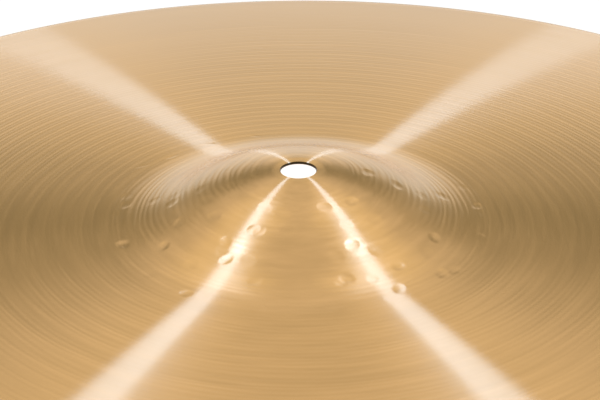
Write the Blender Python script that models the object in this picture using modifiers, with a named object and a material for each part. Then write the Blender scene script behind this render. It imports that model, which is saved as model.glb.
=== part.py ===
"""Orchestral cymbal: one hammered and lathed bronze disc, hung or held at the hole in its bell.

Metres, +Z up. The origin is the centre of the circle that the edge rests on, so the bell's crown is highest.
The disc is one profile turned about the Z axis.
"""

import math

import bmesh
import bpy

# The outline that a player names: size, hole and bell.
DIAMETER = 0.4572
HOLE_DIAMETER = 0.012
BELL_DIAMETER = 0.130

# Heights: the crown over the ring where bell meets bow, and that ring over the edge.
BELL_HEIGHT = 0.0190
BOW_HEIGHT = 0.0170

# The hollow curve between bell and bow, and how steeply the bow leaves it.
BELL_HOLLOW_RADIUS = 0.055
BOW_START_SLOPE = 0.060

# The sheet is thickest at the hole and is hammered and lathed thinner towards the edge.
THICKNESS_AT_HOLE = 0.0011
THICKNESS_AT_EDGE = 0.00085

# The flat round the hole, on both faces, and the broken corners of the hole.
SEAT_WIDTH = 0.0025
HOLE_CHAMFER = 0.00025

# The narrow flat that the edge rests on, and the edge's broken corners.
EDGE_LAND = 0.0012
EDGE_ROUND = 0.0002
EDGE_CHAMFER = 0.0001

# How finely the curves are cut.
TURN_STEPS = 96
DOME_STEPS = 7
HOLLOW_STEPS = 5
BOW_STEPS = 8
EDGE_STEPS = 2

BRONZE_COLOUR = (0.60, 0.36, 0.13, 1.0)
BRONZE_ROUGHNESS = 0.3
WELD_DISTANCE = 0.00001


class Bow:
    """The broad outer zone: a shallow curve that falls from the bell to the edge, steeper as it goes."""

    def __init__(self, edge_height):
        self.start = BELL_DIAMETER / 2
        self.end = DIAMETER / 2
        self.start_height = edge_height + BOW_HEIGHT
        run = self.end - self.start
        self.bend = (BOW_HEIGHT - BOW_START_SLOPE * run) / run**2

    def height(self, radius):
        run = radius - self.start
        return self.start_height - BOW_START_SLOPE * run - self.bend * run**2

    def tilt(self, radius):
        """Angle of the surface below level, looking outwards."""
        return math.atan(BOW_START_SLOPE + 2 * self.bend * (radius - self.start))


def edge_height():
    """Height of the top surface at the edge: the sheet stands on its land, which cuts its lower corner."""
    tilt = Bow(0.0).tilt(DIAMETER / 2)
    return THICKNESS_AT_EDGE / math.cos(tilt) - (EDGE_LAND + EDGE_CHAMFER) * math.tan(tilt)


def arc(centre_radius, centre_height, size, first_tilt, last_tilt, steps):
    """Points of a round stretch as (radius, height, tilt). A negative size is a hollow one."""
    points = []
    for step in range(steps + 1):
        tilt = first_tilt + (last_tilt - first_tilt) * step / steps
        radius = centre_radius + size * math.sin(tilt)
        height = centre_height + size * math.cos(tilt)
        points.append((radius, height, tilt))
    return points


def bell_points(bow):
    """The dome from the seat outwards, then the hollow curve that runs into the bow."""
    ring = bow.start
    start_tilt = bow.tilt(ring)
    across, up = math.sin(start_tilt), math.cos(start_tilt)
    hollow = BELL_HOLLOW_RADIUS
    dome_radius = (ring**2 + BELL_HEIGHT**2 + 2 * hollow * (across * ring - up * BELL_HEIGHT)) / (
        2 * BELL_HEIGHT + 2 * hollow * (1 - up)
    )
    dome_centre = bow.start_height + BELL_HEIGHT - dome_radius
    hollow_centre_radius = ring + hollow * across
    hollow_centre_height = bow.start_height + hollow * up
    meeting_tilt = math.atan2(hollow_centre_radius, hollow_centre_height - dome_centre)
    seat_tilt = math.asin((HOLE_DIAMETER / 2 + HOLE_CHAMFER + SEAT_WIDTH) / dome_radius)
    dome = arc(0.0, dome_centre, dome_radius, seat_tilt, meeting_tilt, DOME_STEPS)
    curve = arc(
        hollow_centre_radius, hollow_centre_height, -hollow, meeting_tilt, start_tilt, HOLLOW_STEPS
    )
    return dome + curve[1:]


def bow_points(bow, last_radius):
    """The bow, from just outside the bell's ring to where the edge starts to round over."""
    points = []
    for step in range(1, BOW_STEPS + 1):
        radius = bow.start + (last_radius - bow.start) * step / BOW_STEPS
        points.append((radius, bow.height(radius), bow.tilt(radius)))
    return points


def thickness(radius):
    """The sheet's thickness, tapered evenly from the hole to the edge."""
    hole = HOLE_DIAMETER / 2
    share = (radius - hole) / (DIAMETER / 2 - hole)
    return THICKNESS_AT_HOLE + (THICKNESS_AT_EDGE - THICKNESS_AT_HOLE) * share


def underside(points):
    """The same curve seen from below: each point moved through the sheet, square to its surface."""
    moved = []
    for radius, height, tilt in points:
        depth = thickness(radius)
        moved.append((radius - depth * math.sin(tilt), height - depth * math.cos(tilt)))
    return moved


def edge_points(bow, face_height):
    """The outer edge: rounded over at the top, upright, and broken at the bottom corner."""
    outer = DIAMETER / 2
    rounding = min(EDGE_ROUND, face_height / 3)
    tilt = bow.tilt(outer)
    start = outer - rounding * (1 - math.sin(tilt))
    centre_radius = outer - rounding
    centre_height = bow.height(start) - rounding * math.cos(tilt)
    over = arc(centre_radius, centre_height, rounding, tilt, math.pi / 2, EDGE_STEPS)
    below = [(outer, EDGE_CHAMFER), (outer - EDGE_CHAMFER, 0.0)]
    return start, [(radius, height) for radius, height, _ in over[1:]] + below


def cymbal_profile():
    """The closed outline in the XZ plane, from the hole over the top to the edge and back underneath."""
    face_height = edge_height()
    bow = Bow(face_height)
    last_radius, edge = edge_points(bow, face_height)
    top = bell_points(bow) + bow_points(bow, last_radius)
    bottom = underside(top)
    land_start = DIAMETER / 2 - EDGE_CHAMFER - EDGE_LAND
    lower = [point for point in bottom if point[0] < land_start and point[1] > 0]

    hole = HOLE_DIAMETER / 2
    seat_top = top[0][1]
    seat_bottom = bottom[0][1]
    hole_top = [(hole, seat_top - HOLE_CHAMFER), (hole + HOLE_CHAMFER, seat_top)]
    hole_bottom = [(hole + HOLE_CHAMFER, seat_bottom), (hole, seat_bottom + HOLE_CHAMFER)]
    upper = [(radius, height) for radius, height, _ in top]
    return hole_top + upper + edge + [(land_start, 0.0)] + lower[::-1] + hole_bottom


def bronze():
    """Plain warm bronze for the solid."""
    material = bpy.data.materials.new("bronze")
    material.use_nodes = True
    shader = material.node_tree.nodes["Principled BSDF"]
    shader.inputs["Base Color"].default_value = BRONZE_COLOUR
    shader.inputs["Metallic"].default_value = 1.0
    shader.inputs["Roughness"].default_value = BRONZE_ROUGHNESS
    return material


def turned(name, profile, material, collection):
    """An object whose closed profile is turned once round the Z axis."""
    mesh = bpy.data.meshes.new(name)
    outline = bmesh.new()
    corners = [outline.verts.new((radius, 0.0, height)) for radius, height in profile]
    for first, second in zip(corners, corners[1:] + corners[:1]):
        outline.edges.new((first, second))
    outline.to_mesh(mesh)
    outline.free()
    mesh.materials.append(material)

    turned_object = bpy.data.objects.new(name, mesh)
    collection.objects.link(turned_object)
    turn = turned_object.modifiers.new("turn", "SCREW")
    turn.axis = "Z"
    turn.steps = TURN_STEPS
    turn.render_steps = TURN_STEPS
    turn.use_merge_vertices = True
    turn.merge_threshold = WELD_DISTANCE
    turn.use_smooth_shade = True
    return turned_object


def main():
    """Clears the scene and models the cymbal."""
    for scene_object in list(bpy.data.objects):
        bpy.data.objects.remove(scene_object)
    collection = bpy.data.collections.new("orchestral_cymbal")
    bpy.context.scene.collection.children.link(collection)
    turned("cymbal", cymbal_profile(), bronze(), collection)


main()
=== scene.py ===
"""Looks of an orchestral cymbal: a hammered and lathed bronze disc that lies on its edge in a white studio.

Metres, +Z up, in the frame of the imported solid. The disc is turned again here at a finer pitch, its hammer
marks are pressed in, and it takes the place of the plain solid. Its front is towards -Y, where the camera
stands, and its right is towards +X.
"""

import logging
import math
import random
from dataclasses import dataclass
from enum import Enum
from typing import Any, Iterator, Union

import bmesh
import bpy
from mathutils import Matrix, Vector, kdtree

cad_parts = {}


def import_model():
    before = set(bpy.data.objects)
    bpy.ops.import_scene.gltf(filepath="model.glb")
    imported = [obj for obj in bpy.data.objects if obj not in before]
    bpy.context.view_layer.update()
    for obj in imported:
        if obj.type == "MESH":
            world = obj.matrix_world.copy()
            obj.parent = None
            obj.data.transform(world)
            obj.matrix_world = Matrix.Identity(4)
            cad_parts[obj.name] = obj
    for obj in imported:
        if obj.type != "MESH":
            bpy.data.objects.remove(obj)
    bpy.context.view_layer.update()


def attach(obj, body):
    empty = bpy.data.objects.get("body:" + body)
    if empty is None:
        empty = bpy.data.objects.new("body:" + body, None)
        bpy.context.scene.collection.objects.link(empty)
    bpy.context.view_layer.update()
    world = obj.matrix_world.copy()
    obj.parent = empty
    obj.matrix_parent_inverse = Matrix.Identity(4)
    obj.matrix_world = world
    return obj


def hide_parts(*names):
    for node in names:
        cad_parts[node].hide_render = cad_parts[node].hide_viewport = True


LOG = logging.getLogger("cymbal")
FULL_TURN = 2 * math.pi

Pair = tuple[float, float]
Place = tuple[float, float, float]
Light = tuple[float, float, float]
Colour = tuple[float, float, float, float]
Operand = Union["Number", float]
Source = Union["Number", bpy.types.NodeSocket, float, Colour]

WHITE: Colour = (1.0, 1.0, 1.0, 1.0)
BLACK: Colour = (0.0, 0.0, 0.0, 1.0)


class Ray(Enum):
    """The kinds of ray that a surface or the world can tell apart, by the name of their socket."""

    CAMERA = "Is Camera Ray"
    GLOSSY = "Is Glossy Ray"
    THROUGH = "Is Transmission Ray"


class Side(Enum):
    """The two halves of the studio, by the sign of X."""

    LEFT = -1
    RIGHT = 1


class Operation(Enum):
    """What a Math node works out."""

    ADD = "ADD"
    SUBTRACT = "SUBTRACT"
    MULTIPLY = "MULTIPLY"
    DIVIDE = "DIVIDE"
    POWER = "POWER"
    SQUARE_ROOT = "SQRT"
    ABSOLUTE = "ABSOLUTE"
    MINIMUM = "MINIMUM"
    SINE = "SINE"
    ARCSINE = "ARCSINE"
    ARCTAN2 = "ARCTAN2"


class Number:
    """A number socket that takes part in Python expressions, each of which adds its Math node."""

    def __init__(self, shader: "Shader", socket: bpy.types.NodeSocket) -> None:
        """Keeps one output socket of the shader's tree."""
        self.shader = shader
        self.socket = socket

    def __add__(self, other: Operand) -> "Number":
        """self + other."""
        return self.shader.maths(Operation.ADD, self, other)

    def __radd__(self, other: Operand) -> "Number":
        """other + self."""
        return self.shader.maths(Operation.ADD, other, self)

    def __sub__(self, other: Operand) -> "Number":
        """self - other."""
        return self.shader.maths(Operation.SUBTRACT, self, other)

    def __rsub__(self, other: Operand) -> "Number":
        """other - self."""
        return self.shader.maths(Operation.SUBTRACT, other, self)

    def __mul__(self, other: Operand) -> "Number":
        """self * other."""
        return self.shader.maths(Operation.MULTIPLY, self, other)

    def __rmul__(self, other: Operand) -> "Number":
        """other * self."""
        return self.shader.maths(Operation.MULTIPLY, other, self)

    def __truediv__(self, other: Operand) -> "Number":
        """self / other."""
        return self.shader.maths(Operation.DIVIDE, self, other)

    def __rtruediv__(self, other: Operand) -> "Number":
        """other / self."""
        return self.shader.maths(Operation.DIVIDE, other, self)

    def __pow__(self, other: Operand) -> "Number":
        """self ** other."""
        return self.shader.maths(Operation.POWER, self, other)

    def __rpow__(self, other: Operand) -> "Number":
        """other ** self."""
        return self.shader.maths(Operation.POWER, other, self)

    def __abs__(self) -> "Number":
        """abs(self)."""
        return self.shader.maths(Operation.ABSOLUTE, self)


class Shader:
    """A node tree that is built up from nothing."""

    def __init__(self, tree: bpy.types.NodeTree) -> None:
        """Empties the tree."""
        self.tree = tree
        tree.nodes.clear()

    def node(self, kind: str, settings: dict[str, Any], sockets: dict[str, Source]) -> bpy.types.Node:
        """Adds one node.

        Args:
            kind: The node's type, without the ShaderNode that it starts with.
            settings: Attributes of the node, which are set first.
            sockets: A value or a link for each input socket, by its identifier.

        Returns:
            The node.
        """
        made = self.tree.nodes.new("ShaderNode" + kind)
        for name, setting in settings.items():
            setattr(made, name, setting)
        by_identifier = {socket.identifier: socket for socket in made.inputs}
        for name, value in sockets.items():
            self.feed(by_identifier[name], value)
        return made

    def feed(self, socket: bpy.types.NodeSocket, value: Source) -> None:
        """Links an input socket or sets its plain value.

        Args:
            socket: The input socket.
            value: A Number or an output socket to link it to, or the value to set.
        """
        source = value.socket if isinstance(value, Number) else value
        if isinstance(source, bpy.types.NodeSocket):
            self.tree.links.new(source, socket)
        else:
            socket.default_value = source

    def maths(self, operation: Operation, *values: Operand) -> Number:
        """Works a number out with a Math node.

        Args:
            operation: What to work out.
            values: The numbers that it is worked out from.

        Returns:
            The result.
        """
        names = ("Value", "Value_001", "Value_002")
        made = self.node("Math", {"operation": operation.value}, dict(zip(names, values)))
        return Number(self, made.outputs["Value"])

    def step(self, value: Number, low: float, high: float) -> Number:
        """A smooth rise.

        Args:
            value: What it follows.
            low: The value at which the rise begins.
            high: The value at which it ends.

        Returns:
            0 up to low, 1 from high on.
        """
        settings = {"interpolation_type": "SMOOTHSTEP"}
        made = self.node("MapRange", settings, {"Value": value, "From Min": low, "From Max": high})
        return Number(self, made.outputs["Result"])

    def between(self, value: Number, low: float, high: float, soft: float) -> Number:
        """A stretch with soft borders.

        Args:
            value: What it follows.
            low: The middle of the lower border.
            high: The middle of the upper border.
            soft: The width of each border.

        Returns:
            1 within the stretch, 0 outside it.
        """
        half = soft / 2
        return self.step(value, low - half, low + half) - self.step(value, high - half, high + half)

    def noise(self, place: bpy.types.NodeSocket, detail: float, rough: float = 0.5) -> Number:
        """Noise whose spots are about as wide as one unit of the place.

        Args:
            place: The vector that the noise follows.
            detail: How many finer layers it has.
            rough: How strong each finer layer is, as a share of the one before.

        Returns:
            A number from 0 to 1, with a middle of 0.5.
        """
        sockets = {"Vector": place, "Scale": 1.0, "Detail": detail, "Roughness": rough}
        return Number(self, self.node("TexNoise", {}, sockets).outputs["Fac"])

    def point(self, x: Operand, y: Operand, z: Operand) -> bpy.types.NodeSocket:
        """A vector put together from three numbers."""
        return self.node("CombineXYZ", {}, {"X": x, "Y": y, "Z": z}).outputs["Vector"]

    def parts(self, vector: bpy.types.NodeSocket) -> tuple[Number, Number, Number]:
        """The X, Y and Z of a vector."""
        outputs = self.node("SeparateXYZ", {}, {"Vector": vector}).outputs
        return Number(self, outputs["X"]), Number(self, outputs["Y"]), Number(self, outputs["Z"])

    def seen_by(self, *rays: Ray) -> Number:
        """Tells some kinds of ray from the others.

        Args:
            rays: The kinds of ray.

        Returns:
            1 for rays of these kinds, 0 for others.
        """
        outputs = self.node("LightPath", {}, {}).outputs
        hits = [Number(self, outputs[ray.value]) for ray in rays]
        return self.maths(Operation.MINIMUM, sum(hits, 0.0), 1.0)

    def blend(self, share: Operand, first: Source, second: Source) -> bpy.types.NodeSocket:
        """Mixes two colours.

        Args:
            share: How much of the second colour there is, from 0 to 1.
            first: The colour at 0.
            second: The colour at 1.

        Returns:
            The colour between them.
        """
        sockets = {"Factor_Float": share, "A_Color": first, "B_Color": second}
        made = self.node("Mix", {"data_type": "RGBA"}, sockets)
        return next(socket for socket in made.outputs if socket.identifier == "Result_Color")

    def mix(self, share: Operand, first: Source, second: Source) -> bpy.types.NodeSocket:
        """A surface between first and second, by a share from 0 to 1."""
        made = self.node("MixShader", {}, {"Fac": share, "Shader": first, "Shader_001": second})
        return made.outputs["Shader"]


def new_material(name: str) -> tuple[bpy.types.Material, Shader]:
    """Starts a material.

    Args:
        name: Its name.

    Returns:
        The material and its empty node tree.
    """
    material = bpy.data.materials.new(name)
    material.use_nodes = True
    return material, Shader(material.node_tree)


def put(name: str, data: bpy.types.ID) -> bpy.types.Object:
    """Puts an object into the scene.

    Args:
        name: Its name.
        data: Its mesh, lamp or camera.

    Returns:
        The object.
    """
    made = bpy.data.objects.new(name, data)
    bpy.context.scene.collection.objects.link(made)
    return made


@dataclass(frozen=True)
class DiscShape:
    """The cymbal's section, in metres, the same as the solid's."""

    diameter: float = 0.4572
    hole_diameter: float = 0.012
    bell_diameter: float = 0.130
    bell_height: float = 0.0190
    bow_height: float = 0.0170
    bell_hollow_radius: float = 0.055
    bow_start_slope: float = 0.060
    thickness_at_hole: float = 0.0011
    thickness_at_edge: float = 0.00085
    seat_width: float = 0.0025
    hole_chamfer: float = 0.00025
    edge_land: float = 0.0012
    edge_round: float = 0.0002
    edge_chamfer: float = 0.0001

    @property
    def edge_radius(self) -> float:
        """Outer radius."""
        return self.diameter / 2

    @property
    def land_radius(self) -> float:
        """Radius at which the narrow flat under the edge begins."""
        return self.edge_radius - self.edge_chamfer - self.edge_land

    @property
    def hole_radius(self) -> float:
        """Radius of the centre hole."""
        return self.hole_diameter / 2

    @property
    def seat_radius(self) -> float:
        """Outer radius of the flat seat round the hole."""
        return self.hole_radius + self.hole_chamfer + self.seat_width

    @property
    def ring_radius(self) -> float:
        """Radius of the ring where the bell runs into the bow."""
        return self.bell_diameter / 2

    @property
    def bow_bend(self) -> float:
        """How fast the bow steepens, per metre of radius."""
        run = self.edge_radius - self.ring_radius
        return (self.bow_height - self.bow_start_slope * run) / run**2

    @property
    def edge_height(self) -> float:
        """The edge over the floor.

        Returns:
            Height of the top surface at the edge, over the land that the disc lies on.
        """
        tilt = self.bow_tilt(self.edge_radius)
        foot = self.edge_land + self.edge_chamfer
        return self.thickness_at_edge / math.cos(tilt) - foot * math.tan(tilt)

    @property
    def ring_height(self) -> float:
        """Height of the ring where the bell runs into the bow."""
        return self.edge_height + self.bow_height

    @property
    def dome_radius(self) -> float:
        """The bell's dome.

        Returns:
            Radius of the ball that the dome is cut from, which touches the hollow curve round its foot.
        """
        tilt = self.bow_tilt(self.ring_radius)
        across, up, hollow = math.sin(tilt), math.cos(tilt), self.bell_hollow_radius
        reach = across * self.ring_radius - up * self.bell_height
        whole = self.ring_radius**2 + self.bell_height**2 + 2 * hollow * reach
        return whole / (2 * self.bell_height + 2 * hollow * (1 - up))

    def bow_tilt(self, radius: float) -> float:
        """Angle of the bow below level, looking outwards."""
        return math.atan(self.bow_start_slope + 2 * self.bow_bend * (radius - self.ring_radius))

    def bow_top(self, radius: float) -> float:
        """Height of the bow's top surface."""
        run = radius - self.ring_radius
        return self.ring_height - self.bow_start_slope * run - self.bow_bend * run**2

    def bell_top(self, radius: float) -> Pair:
        """The bell's top surface: the seat, the dome, and the hollow curve that runs into the bow.

        Args:
            radius: Distance from the axis, within the ring.

        Returns:
            Height over the floor, and the angle below level, looking outwards.
        """
        dome = self.dome_radius
        dome_centre = self.ring_height + self.bell_height - dome
        start = self.bow_tilt(self.ring_radius)
        hollow = self.bell_hollow_radius
        hollow_radius = self.ring_radius + hollow * math.sin(start)
        hollow_height = self.ring_height + hollow * math.cos(start)
        meeting = math.atan2(hollow_radius, hollow_height - dome_centre)
        if radius > dome * math.sin(meeting):
            tilt = math.asin((hollow_radius - radius) / hollow)
            return hollow_height - hollow * math.cos(tilt), tilt
        tilt = math.asin(max(radius, self.seat_radius) / dome)
        return dome_centre + dome * math.cos(tilt), tilt if radius > self.seat_radius else 0.0

    def top(self, radius: float) -> Pair:
        """The top surface.

        Args:
            radius: Distance from the axis.

        Returns:
            Height over the floor, and the angle below level, looking outwards.
        """
        if radius >= self.ring_radius:
            return self.bow_top(radius), self.bow_tilt(radius)
        return self.bell_top(radius)

    def thickness(self, radius: float) -> float:
        """The sheet's thickness, which tapers evenly from the hole to the edge."""
        share = (radius - self.hole_radius) / (self.edge_radius - self.hole_radius)
        return self.thickness_at_hole + (self.thickness_at_edge - self.thickness_at_hole) * share


@dataclass(frozen=True)
class Dent:
    """One mark of the hammer's face: a shallow round hollow that the lathe cut down to its bottom."""

    place: Vector
    along: Vector
    length: float
    width: float
    depth: float
    lean: float
    rim_softness: float = 0.01

    def sink(self, point: Vector) -> float:
        """How far the surface is pressed down.

        Args:
            point: A point of the surface near the mark.

        Returns:
            The depth there, which fades out past the mark's rim.
        """
        offset = (point - self.place).to_2d()
        lengthwise = offset.dot(self.along) / self.length
        crosswise = offset.cross(self.along) / self.width
        inside = 1.0 - lengthwise**2 - crosswise**2
        hollow = (inside + math.sqrt(inside**2 + self.rim_softness)) / 2
        return self.depth * (1.0 + self.lean * crosswise) * hollow


@dataclass(frozen=True)
class Blow:
    """One blow of the hammer: how far out it fell, at what angle, how hard, and how wide it marked.

    The radius is in metres, and the angle in degrees, from the disc's front towards its right.
    """

    radius: float
    angle: float
    force: float
    width: float = 0.85


@dataclass(frozen=True)
class HammerWork:
    """The marks of the hammer: those that show well, and rows of faint ones over the front of the bell.

    A spread is how far a random value strays to either side, and a reach is how far from a mark's middle the
    sheet is worked, as a share of the mark's own size.
    """

    shape: DiscShape
    face_radius: float = 0.0024
    face_spread: float = 0.15
    stretch: float = 1.1
    depth: float = 0.00008
    turn_spread: float = 0.6
    lean_spread: float = 0.8
    seed: int = 18
    # The marks that show well, by rows from the hole outwards.
    plain: tuple[Blow, ...] = (
        Blow(0.0235, -28, 0.7),
        Blow(0.0225, 22, 1.0),
        Blow(0.0240, 47, 1.3),
        Blow(0.0235, 100, 1.6),
        Blow(0.0310, -6, 0.8),
        Blow(0.0325, -27, 1.2),
        Blow(0.0335, -56, 1.2),
        Blow(0.0330, 94, 1.3),
        Blow(0.0390, -38, 1.3),
        Blow(0.0442, -32, 1.4),
        Blow(0.0382, 27, 1.5),
        Blow(0.0405, 7, 0.8),
        Blow(0.0420, -70, 1.4),
        Blow(0.0425, -90, 1.7),
        Blow(0.0425, 82, 1.4),
        Blow(0.0488, 2, 0.9),
        Blow(0.0490, 18, 1.3),
        Blow(0.0498, 40, 1.7),
        Blow(0.0490, 66, 1.8),
        Blow(0.0500, -62, 1.4),
        Blow(0.0505, 101, 1.4),
        Blow(0.0582, 33, 1.4),
        Blow(0.0602, 50, 1.5),
        Blow(0.0618, -36, 1.3),
        Blow(0.0610, -73, 1.5),
        Blow(0.0615, 97, 1.8),
        Blow(0.0600, -99, 1.4),
        Blow(0.0650, -136, 1.2, 0.3),
        Blow(0.0655, -150, 1.0, 0.3),
        Blow(0.0650, -166, 1.1, 0.3),
        Blow(0.0680, -126, 1.0, 0.3),
        Blow(0.1050, -145, 0.8, 0.35),
        Blow(0.1250, -145, 0.6, 0.35),
    )
    # The radius of each row of faint marks, and how many there are.
    faint_rows: tuple[tuple[float, int], ...] = (
        (0.0235, 4),
        (0.0325, 6),
        (0.0415, 8),
        (0.0500, 10),
        (0.0610, 12),
    )
    # A row's faint marks share an arc about the front, in degrees, with a gap at both ends of each share.
    faint_arc: float = 240.0
    faint_gap: float = 0.1
    faint_row_spread: float = 0.0012
    faint_force: Pair = (0.35, 0.85)
    # The skin is refined where it faces up this much, out to this radius.
    least_upward: float = 0.7
    fine_radius: float = 0.13
    fine_reach: float = 1.35
    press_reach: float = 1.6

    def blows(self, draw: random.Random) -> Iterator[Blow]:
        """The marks that show well, then the faint ones.

        Args:
            draw: Where chance comes from.

        Returns:
            The blows. Each faint one falls somewhere in its share of a row.
        """
        yield from self.plain
        for radius, count in self.faint_rows:
            for index in range(count):
                along_row = (index + draw.uniform(self.faint_gap, 1 - self.faint_gap)) / count
                place = radius + draw.uniform(-self.faint_row_spread, self.faint_row_spread)
                angle = self.faint_arc * along_row - self.faint_arc / 2
                yield Blow(place, angle, draw.uniform(*self.faint_force))

    def dents(self) -> list[Dent]:
        """Every mark, in its place."""
        draw = random.Random(self.seed)
        return [self.dent(blow, draw) for blow in self.blows(draw)]

    def dent(self, blow: Blow, draw: random.Random) -> Dent:
        """One mark.

        Args:
            blow: The blow that made it.
            draw: Where chance comes from.

        Returns:
            The mark, turned, sized and tilted a little by chance.
        """
        height, _ = self.shape.top(blow.radius)
        angle = math.radians(blow.angle)
        place = Vector((blow.radius * math.sin(angle), -blow.radius * math.cos(angle), height))
        turn = angle + draw.uniform(-self.turn_spread, self.turn_spread)
        along = Vector((math.cos(turn), math.sin(turn)))
        size = self.face_radius * draw.uniform(1 - self.face_spread, 1 + self.face_spread)
        lean = draw.uniform(-self.lean_spread, self.lean_spread)
        return Dent(place, along, size * self.stretch, size * blow.width, self.depth * blow.force, lean)

    def refine(self, work: bmesh.types.BMesh, dents: list[Dent]) -> None:
        """Halves the skin's pitch on top wherever a mark will be, and puts the new points on the curve.

        Args:
            work: The disc's skin.
            dents: The marks.
        """
        work.normal_update()
        finder = kdtree.KDTree(len(dents))
        for index, dent in enumerate(dents):
            finder.insert(dent.place, index)
        finder.balance()
        near = []
        for face in work.faces:
            middle = face.calc_center_median()
            if face.normal.z > self.least_upward and middle.to_2d().length < self.fine_radius:
                if finder.find(middle)[2] < self.fine_reach * self.face_radius:
                    near.append(face)
        edges = {edge for face in near for edge in face.edges}
        made = bmesh.ops.subdivide_edges(work, edges=list(edges), cuts=1, use_grid_fill=True)
        for vertex in made["geom_inner"]:
            if isinstance(vertex, bmesh.types.BMVert):
                vertex.co.z = self.shape.top(vertex.co.to_2d().length)[0]

    def press(self, work: bmesh.types.BMesh) -> None:
        """Presses the marks into the disc, through the sheet, along each point's own normal.

        Args:
            work: The disc's skin.
        """
        dents = self.dents()
        self.refine(work, dents)
        work.normal_update()
        work.verts.ensure_lookup_table()
        finder = kdtree.KDTree(len(work.verts))
        for vertex in work.verts:
            finder.insert(vertex.co, vertex.index)
        finder.balance()
        sunk: dict[int, float] = {}
        for dent in dents:
            for point, index, _ in finder.find_range(dent.place, self.press_reach * dent.length):
                sunk[index] = sunk.get(index, 0.0) + dent.sink(point)
        for index, depth in sunk.items():
            vertex = work.verts[index]
            outward = vertex.normal if vertex.normal.z > 0 else -vertex.normal
            vertex.co -= outward * depth


@dataclass(frozen=True)
class LatheMarks:
    """What the lathe left at each place of the disc.

    The radius is in metres. Rightward and backward are the place's X and Y, as shares of the radius. Lines
    and bands are fine and broad noise from 0 to 1, waves count the turns of the tool, and bore is 1 at the
    hole's wall, where shade is painted near black, and 0 elsewhere.
    """

    radius: Number
    rightward: Number
    backward: Number
    lines: Number
    bands: Number
    waves: Number
    bore: Number


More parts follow.
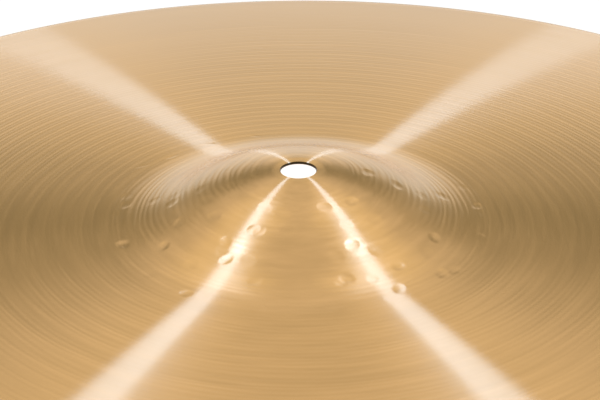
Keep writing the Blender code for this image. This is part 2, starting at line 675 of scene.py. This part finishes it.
@dataclass(frozen=True)
class BronzeFinish:
    """Unlacquered cymbal bronze with its lathe lines.

    Three sheens lie over each other: the metal body, a broad sheen across the grooves, and a white glaze at
    low angles. Radii, pitches and heights are in metres. A pair is where a change begins and where it ends,
    as a radius, or for ridge_rise as a backward place, from -1 at the front to 1 at the back.
    """

    # The metal's colour, and a deeper one for random darker rings and for the painted shade between the
    # lathe's ridges.
    colour: Colour = (0.675, 0.405, 0.160, 1.0)
    deep_tone_and_shade: Colour = (0.530, 0.320, 0.122, 1.0)
    groove_colour: Colour = (0.61, 0.367, 0.155, 1.0)
    # The hole's wall is painted near black, as shade.
    bore_painted_shade: Colour = (0.035, 0.022, 0.010, 1.0)
    bore_border: Pair = (0.00615, 0.00625)

    # The three sheens: how rough they are, how far they are stretched, and their shares.
    body_roughness: float = 0.19
    body_stretch: float = 0.4
    body_turn: float = 0.25
    groove_roughness: float = 0.379
    groove_stretch: float = 0.856
    groove_share: float = 0.46
    roughness_spread: float = 0.10
    glaze_share: float = 0.24
    glaze_power: float = 5.0
    rim_glaze_share: float = 0.35
    rim_glaze_power: float = 14.0

    # Fine lines and broad bands, which wander a little on their way round the disc.
    lines_per_metre: float = 480.0
    line_wander: float = 3.0
    line_detail: float = 2.0
    line_rough: float = 0.6
    line_contrast: float = 2.2
    line_height: float = 0.000003
    bands_per_metre: float = 160.0
    band_wander: float = 1.5
    band_detail: float = 1.0
    band_contrast: float = 1.5

    # Waves that the tool left, with painted highlight on their ridges and painted shade between them, which
    # gains contrast towards the back.
    wave_pitch: float = 0.0021
    wave_drift: float = 1.8
    painted_ridge_shading: float = 0.05
    painted_ridge_shading_gain: float = 0.75
    ridge_rise: Pair = (-0.2, 0.7)
    bell_wave_height: float = 0.000038
    bell_wave_swell: float = 1.4
    bell_wave_least: float = 0.15
    bell_waves_rise: Pair = (0.010, 0.026)
    bell_waves_fall: Pair = (0.054, 0.076)
    bow_wave_height: float = 0.000010
    bow_wave_least: float = 0.2
    bow_waves_rise: Pair = (0.062, 0.075)

    def marks(self, shader: Shader) -> LatheMarks:
        """Lays out the lathe's marks.

        Args:
            shader: The node tree to work in.

        Returns:
            The marks at each place.
        """
        x, y, _ = shader.parts(shader.node("TexCoord", {}, {}).outputs["Object"])
        radius = shader.maths(Operation.SQUARE_ROOT, x * x + y * y)
        rightward, backward = x / radius, y / radius
        wander = self.line_wander
        place = shader.point(radius * self.lines_per_metre, rightward * wander, backward * wander)
        lines = shader.noise(place, self.line_detail, self.line_rough)
        wander = self.band_wander
        place = shader.point(radius * self.bands_per_metre, rightward * wander, backward * wander)
        bands = shader.noise(place, self.band_detail)
        waves = radius / self.wave_pitch + bands * self.wave_drift
        bore = 1.0 - shader.step(radius, *self.bore_border)
        return LatheMarks(radius, rightward, backward, lines, bands, waves, bore)

    def base_colour(self, shader: Shader, marks: LatheMarks) -> bpy.types.NodeSocket:
        """The body's colour: random lighter and darker rings, painted highlight on the ridges and painted
        shade between them, and near black painted shade on the hole's wall.

        Args:
            shader: The node tree to work in.
            marks: The lathe's marks.

        Returns:
            The colour.
        """
        # Painted light and shade: the lathe's ridges are coloured lighter and the hollows between them
        # darker, more so towards the back.
        ridges = shader.maths(Operation.SINE, marks.waves * (FULL_TURN / 2))
        towards_back = shader.step(marks.backward, *self.ridge_rise)
        contrast = towards_back * self.painted_ridge_shading_gain + self.painted_ridge_shading
        fine = (marks.lines - 0.5) * self.line_contrast + (marks.bands - 0.5) * self.band_contrast
        bright = fine + ridges * contrast + 0.5
        turned = shader.blend(bright, self.deep_tone_and_shade, self.colour)
        # Painted shade: the hole's wall is coloured near black.
        return shader.blend(marks.bore, turned, self.bore_painted_shade)

    def normal(self, shader: Shader, marks: LatheMarks) -> bpy.types.NodeSocket:
        """The surface's small waves and lines: waves on the bell, highest at its sides, and low ones beyond.

        Args:
            shader: The node tree to work in.
            marks: The lathe's marks.

        Returns:
            The normal.
        """
        on_bell = shader.step(marks.radius, *self.bell_waves_rise)
        on_bell = on_bell - shader.step(marks.radius, *self.bell_waves_fall)
        at_sides = (marks.rightward * marks.rightward) ** 2.0
        swell = at_sides * (1 - self.bell_wave_least) + self.bell_wave_least
        bell_height = on_bell * (swell * (marks.lines * self.bell_wave_swell)) * self.bell_wave_height
        on_bow = shader.step(marks.radius, *self.bow_waves_rise)
        on_bow = on_bow * (1 - self.bow_wave_least) + self.bow_wave_least
        waves = shader.maths(Operation.SINE, marks.waves * FULL_TURN)
        height = waves * (bell_height + on_bow * self.bow_wave_height) + marks.lines * self.line_height
        bump = shader.node("Bump", {}, {"Height": height, "Distance": 1.0, "Strength": 1.0})
        return bump.outputs["Normal"]

    def metal(self, shader: Shader, marks: LatheMarks, normal: Source) -> bpy.types.NodeSocket:
        """The metal: its body, with the broad sheen that the grooves throw across themselves.

        Args:
            shader: The node tree to work in.
            marks: The lathe's marks.
            normal: The surface's normal.

        Returns:
            The surface.
        """
        settings = {"direction_type": "RADIAL", "axis": "Z"}
        tangent = shader.node("Tangent", settings, {}).outputs["Tangent"]
        uneven = (marks.lines - 0.5) * self.roughness_spread
        body = shader.node(
            "BsdfPrincipled",
            {},
            {
                "Base Color": self.base_colour(shader, marks),
                "Metallic": 1.0,
                "Roughness": self.body_roughness + uneven,
                "Normal": normal,
                "Anisotropic": self.body_stretch,
                "Anisotropic Rotation": self.body_turn,
                "Tangent": tangent,
            },
        )
        groove = shader.node(
            "BsdfAnisotropic",
            {"distribution": "BECKMANN"},
            {
                "Color": self.groove_colour,
                "Roughness": self.groove_roughness + uneven,
                "Normal": normal,
                "Anisotropy": self.groove_stretch,
                "Tangent": tangent,
            },
        )
        # No groove sheen on the hole's wall, so that its painted shade stays dark.
        share = (1.0 - marks.bore) * self.groove_share
        return shader.mix(share, body.outputs["BSDF"], groove.outputs["BSDF"])

    def glazed(
        self, shader: Shader, marks: LatheMarks, normal: Source, metal: Source
    ) -> bpy.types.NodeSocket:
        """The white glaze over the metal, stronger the lower it is looked at.

        Args:
            shader: The node tree to work in.
            marks: The lathe's marks.
            normal: The surface's normal.
            metal: The surface under the glaze.

        Returns:
            The surface.
        """
        sockets = {"Color": WHITE, "Roughness": self.body_roughness, "Normal": normal}
        glaze = shader.node("BsdfAnisotropic", {"distribution": "GGX"}, sockets).outputs["BSDF"]
        facing = Number(shader, shader.node("LayerWeight", {}, {"Blend": 0.5}).outputs["Facing"])
        low = facing**self.glaze_power * self.glaze_share
        lowest = facing**self.rim_glaze_power * self.rim_glaze_share
        # No glaze on the hole's wall, so that its painted shade stays dark.
        return shader.mix((low + lowest) * (1.0 - marks.bore), metal, glaze)

    def material(self) -> bpy.types.Material:
        """The finish as a material.

        Returns:
            The material.
        """
        bronze, shader = new_material("lathed_bronze")
        marks = self.marks(shader)
        normal = self.normal(shader, marks)
        surface = self.glazed(shader, marks, normal, self.metal(shader, marks, normal))
        shader.node("OutputMaterial", {}, {"Surface": surface})
        return bronze


@dataclass(frozen=True)
class Disc:
    """The cymbal itself: one closed skin, turned from its section. Its sizes are in metres."""

    shape: DiscShape
    marks: HammerWork
    finish: BronzeFinish
    # How finely the skin is cut, and the radius within which it has the bell's pitch.
    quarter_steps: int = 90
    bell_pitch: float = 0.00075
    bow_pitch: float = 0.0030
    underside_pitch: float = 0.0040
    fine_radius: float = 0.075
    # The rounded edge's one middle point, and how near the land the underside may come.
    rounding_share: float = 0.3
    least_height: float = 0.0001
    land_clearance: float = 0.0003
    # Points closer than the weld are one, and folds beyond the sharp angle, in degrees, stay crisp.
    weld: float = 1e-6
    sharp_angle: float = 40.0

    def radii(self, fine: float, coarse: float, last: float) -> Iterator[float]:
        """Radii from the seat outwards.

        Args:
            fine: Distance between them on the bell.
            coarse: Distance between them on the bow.
            last: The last radius.

        Returns:
            The radii.
        """
        start = self.shape.hole_radius + self.shape.hole_chamfer
        spans = ((start, self.fine_radius, fine), (self.fine_radius, last, coarse))
        for low, high, pitch in spans:
            count = round((high - low) / pitch)
            for index in range(count):
                yield low + (high - low) * index / count
        yield last

    def over(self) -> list[Pair]:
        """The section's top.

        Returns:
            Points as radius and height, from the hole to where the edge starts to round over.
        """
        last = self.shape.edge_radius - self.shape.edge_round
        radii = self.radii(self.bell_pitch, self.bow_pitch, last)
        return [(radius, self.shape.top(radius)[0]) for radius in radii]

    def edge(self, height: float) -> list[Pair]:
        """The section's outer edge.

        Args:
            height: Height of the top surface where the edge starts to round over.

        Returns:
            Points as radius and height, from the top down to the land.
        """
        outer, rounding, chamfer = self.shape.edge_radius, self.shape.edge_round, self.shape.edge_chamfer
        shoulder = self.rounding_share * rounding
        return [
            (outer - shoulder, height - shoulder),
            (outer, height - rounding),
            (outer, chamfer),
            (outer - chamfer, 0.0),
        ]

    def under(self) -> list[Pair]:
        """The section's underside: the top moved through the sheet, square to its surface.

        Returns:
            Points as radius and height, from the land inwards.
        """
        land = self.shape.land_radius
        points = [(land, 0.0)]
        for radius in reversed(list(self.radii(self.underside_pitch, self.underside_pitch, land))):
            height, tilt = self.shape.top(radius)
            depth = self.shape.thickness(radius)
            below = height - depth * math.cos(tilt)
            inward = radius - depth * math.sin(tilt)
            if below > self.least_height and inward < land - self.land_clearance:
                points.append((inward, below))
        return points

    def section(self) -> list[Pair]:
        """The closed section.

        Returns:
            Points as radius and height, from the hole over the top, and back underneath.
        """
        top, under = self.over(), self.under()
        hole, chamfer = self.shape.hole_radius, self.shape.hole_chamfer
        wall = [(hole, under[-1][1] + chamfer), (hole, top[0][1] - chamfer)]
        return wall + top + self.edge(top[-1][1]) + under

    def mesh(self) -> bpy.types.Mesh:
        """The turned and hammered skin: a quarter turn of the section, mirrored across and lengthwise.

        Returns:
            The mesh.
        """
        work = bmesh.new()
        corners = [work.verts.new((radius, 0.0, height)) for radius, height in self.section()]
        ring = [work.edges.new(pair) for pair in zip(corners, corners[1:] + corners[:1])]
        bmesh.ops.spin(
            work,
            geom=corners + ring,
            cent=(0.0, 0.0, 0.0),
            axis=(0.0, 0.0, 1.0),
            angle=FULL_TURN / 4,
            steps=self.quarter_steps,
            use_merge=False,
        )
        for axis in ("X", "Y"):
            whole = work.verts[:] + work.edges[:] + work.faces[:]
            bmesh.ops.mirror(work, geom=whole, axis=axis, merge_dist=self.weld)
        bmesh.ops.remove_doubles(work, verts=work.verts[:], dist=self.weld)
        bmesh.ops.recalc_face_normals(work, faces=work.faces[:])
        self.marks.press(work)
        skin = bpy.data.meshes.new("cymbal_disc")
        work.to_mesh(skin)
        work.free()
        skin.shade_smooth()
        return skin

    def build(self) -> bpy.types.Object:
        """Builds and dresses the disc.

        Returns:
            The disc, in place of the plain solid.
        """
        disc = put("cymbal_disc", self.mesh())
        disc.data.materials.append(self.finish.material())
        disc.data.set_sharp_from_angle(angle=math.radians(self.sharp_angle))
        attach(disc, "root")
        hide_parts("cymbal")
        return disc


@dataclass(frozen=True)
class FloorPaint:
    """Matt pale paint that shows white to the camera and to the metal, and keeps the disc's shadow.

    It is clear from below. It glows white in a spot under the disc, which fades into the even glow of the
    rest between the two radii of its border, in metres.
    """

    colour: Colour = (0.5, 0.5, 0.5, 1.0)
    glow: float = 0.5
    spot_border: Pair = (0.05, 0.22)

    def material(self) -> bpy.types.Material:
        """The paint as a material.

        Returns:
            The material.
        """
        paint, shader = new_material("pale_floor")
        place = shader.node("TexCoord", {}, {}).outputs["Object"]
        distance = shader.node("VectorMath", {"operation": "LENGTH"}, {"Vector": place}).outputs["Value"]
        spot = 1.0 - shader.step(Number(shader, distance), *self.spot_border)
        seen = shader.seen_by(Ray.CAMERA, Ray.GLOSSY, Ray.THROUGH)
        white = seen * (self.glow + spot * (1 - self.glow))
        matt = shader.node(
            "BsdfPrincipled",
            {},
            {
                "Base Color": self.colour,
                "Roughness": 1.0,
                "Specular IOR Level": 0.0,
                "Emission Color": shader.blend(white, BLACK, WHITE),
                "Emission Strength": 1.0,
            },
        )
        below = shader.node("NewGeometry", {}, {}).outputs["Backfacing"]
        clear = shader.node("BsdfTransparent", {}, {}).outputs["BSDF"]
        shader.node("OutputMaterial", {}, {"Surface": shader.mix(below, matt.outputs["BSDF"], clear)})
        return paint


@dataclass(frozen=True)
class Floor:
    """A plain floor that the disc lies on."""

    paint: FloorPaint
    size: float = 12.0

    def build(self) -> bpy.types.Object:
        """Builds and paints the floor.

        Returns:
            The floor, which is no piece of the part.
        """
        work = bmesh.new()
        bmesh.ops.create_grid(work, x_segments=1, y_segments=1, size=self.size / 2)
        sheet = bpy.data.meshes.new("floor")
        work.to_mesh(sheet)
        work.free()
        sheet.materials.append(self.paint.material())
        floor = put("floor", sheet)
        return floor


@dataclass(frozen=True)
class Card:
    """A pale or dark card in the room, one on each side.

    Its edges are angles seen from the disc, in degrees: inner and outer from the back round to the front,
    bottom and top from level upwards, and soft is the width of its borders.
    """

    inner: float
    outer: float
    bottom: float
    top: float
    soft: float
    light: Light


@dataclass(frozen=True)
class Room:
    """The room: white all round to the camera, with its walls and cards to the disc."""

    walls: Light = (1.06, 1.06, 1.06)
    cards: tuple[Card, ...] = (
        Card(-20.0, 30.0, -120.0, 10.5, 8.0, (1.15, 1.28, 1.42)),
        Card(-20.0, 4.0, 11.0, 42.0, 6.0, (0.93, 0.90, 0.76)),
        Card(21.0, 34.0, 8.0, 33.0, 6.0, (0.63, 0.63, 0.56)),
        Card(34.0, 75.0, 8.0, 33.0, 6.0, (0.76, 0.76, 0.70)),
        Card(4.0, 24.0, 18.0, 33.0, 7.0, (0.42, 0.42, 0.33)),
        Card(14.0, 130.0, 46.0, 71.0, 12.0, (1.55, 1.52, 1.35)),
    )

    def build(self) -> bpy.types.World:
        """Hangs the cards, each over those before it.

        Returns:
            The room, as the scene's world.
        """
        world = bpy.data.worlds.new("studio_white")
        bpy.context.scene.world = world
        world.use_nodes = True
        shader = Shader(world.node_tree)
        x, y, z = shader.parts(shader.node("TexCoord", {}, {}).outputs["Generated"])
        azimuth = shader.maths(Operation.ARCTAN2, abs(x), y) * math.degrees(1)
        elevation = shader.maths(Operation.ARCSINE, z) * math.degrees(1)
        light: Source = (*self.walls, 1.0)
        for card in self.cards:
            across = shader.between(azimuth, card.inner, card.outer, card.soft)
            upright = shader.between(elevation, card.bottom, card.top, card.soft)
            light = shader.blend(across * upright, light, (*card.light, 1.0))
        colour = shader.blend(shader.seen_by(Ray.CAMERA, Ray.THROUGH), light, WHITE)
        backing = shader.node("Background", {}, {"Color": colour, "Strength": 1.0})
        shader.node("OutputWorld", {}, {"Surface": backing.outputs["Background"]})
        return world


@dataclass(frozen=True)
class Strip:
    """The light of one strip lamp."""

    radiance: float
    tint: Light


@dataclass(frozen=True)
class StripLamps:
    """Strip lamps end to end over each side of the disc, which the grooves turn into its bright streaks.

    The corners are those of the row over the right half, from over the front to over the back.
    """

    width: float = 0.097
    corners: tuple[Vector, ...] = (
        Vector((0.444, -0.284, 0.293)),
        Vector((0.310, 0.041, 0.608)),
        Vector((0.286, 0.098, 0.664)),
        Vector((0.146, 0.408, 0.647)),
    )
    strips: tuple[Strip, ...] = (
        Strip(13.6, (0.197, 0.385, 1.0)),
        Strip(6.0, (0.200, 0.380, 1.0)),
        Strip(2.9, (0.200, 0.370, 1.0)),
    )

    def lamp(self, name: str, strip: Strip, first: Vector, last: Vector) -> bpy.types.Object:
        """Hangs one strip lamp, which faces the middle of the disc.

        Args:
            name: The lamp's name.
            strip: Its light.
            first: The middle of its one end.
            last: The middle of its other end.

        Returns:
            The lamp.
        """
        length = (last - first).length
        middle = (first + last) / 2
        lengthwise = (last - first) / length
        sideways = lengthwise.cross(middle).normalized()
        data = bpy.data.lights.new(name, "AREA")
        data.shape = "RECTANGLE"
        data.size = self.width
        data.size_y = length
        data.color = strip.tint
        data.energy = strip.radiance * math.pi * self.width * length
        lamp = put(name, data)
        turn = Matrix((sideways, lengthwise, sideways.cross(lengthwise))).transposed().to_4x4()
        lamp.matrix_world = Matrix.Translation(middle) @ turn
        lamp.visible_camera = False
        lamp.visible_diffuse = False
        return lamp

    def build(self) -> list[bpy.types.Object]:
        """Hangs both rows of lamps.

        Returns:
            The lamps.
        """
        lamps = []
        for index, strip in enumerate(self.strips):
            for side in Side:
                first, last = (
                    Vector((side.value * corner.x, corner.y, corner.z))
                    for corner in self.corners[index : index + 2]
                )
                lamps.append(self.lamp(f"strip_{index}_{side.name.lower()}", strip, first, last))
        return lamps


@dataclass(frozen=True)
class PhotoCamera:
    """The camera at the photograph's angle.

    Its place is in metres, its turns in radians, its sensor in millimetres, and its focal length in pixels
    of the frame's width.
    """

    place: Place = (0.0, -0.67479, 0.382807)
    pitch: float = 0.48787
    yaw: float = 0.00069
    roll: float = 0.00549
    focal_length: float = 2271.1
    frame_width: float = 600.0
    sensor_width: float = 36.0
    nearest: float = 0.05

    def build(self) -> bpy.types.Object:
        """Sets the camera up.

        Returns:
            The camera.
        """
        data = bpy.data.cameras.new("camera")
        data.sensor_width = self.sensor_width
        data.lens = self.focal_length * self.sensor_width / self.frame_width
        data.clip_start = self.nearest
        camera = put("camera", data)
        camera.matrix_world = (
            Matrix.Translation(self.place)
            @ Matrix.Rotation(-self.yaw, 4, "Z")
            @ Matrix.Rotation(math.pi / 2 - self.pitch, 4, "X")
            @ Matrix.Rotation(-self.roll, 4, "Z")
        )
        bpy.context.scene.camera = camera
        return camera


def main() -> None:
    """Builds the disc and the studio round it, and logs each piece."""
    logging.basicConfig(level=logging.INFO)
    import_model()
    bpy.context.scene.view_settings.view_transform = "Standard"
    shape = DiscShape()
    disc = Disc(shape, HammerWork(shape), BronzeFinish()).build()
    LOG.info("%s: %d faces", disc.name, len(disc.data.polygons))
    studio = (Floor(FloorPaint()).build(), Room().build(), *StripLamps().build(), PhotoCamera().build())
    for item in studio:
        LOG.info("%s: in place", item.name)


if __name__ == "__main__":
    main()
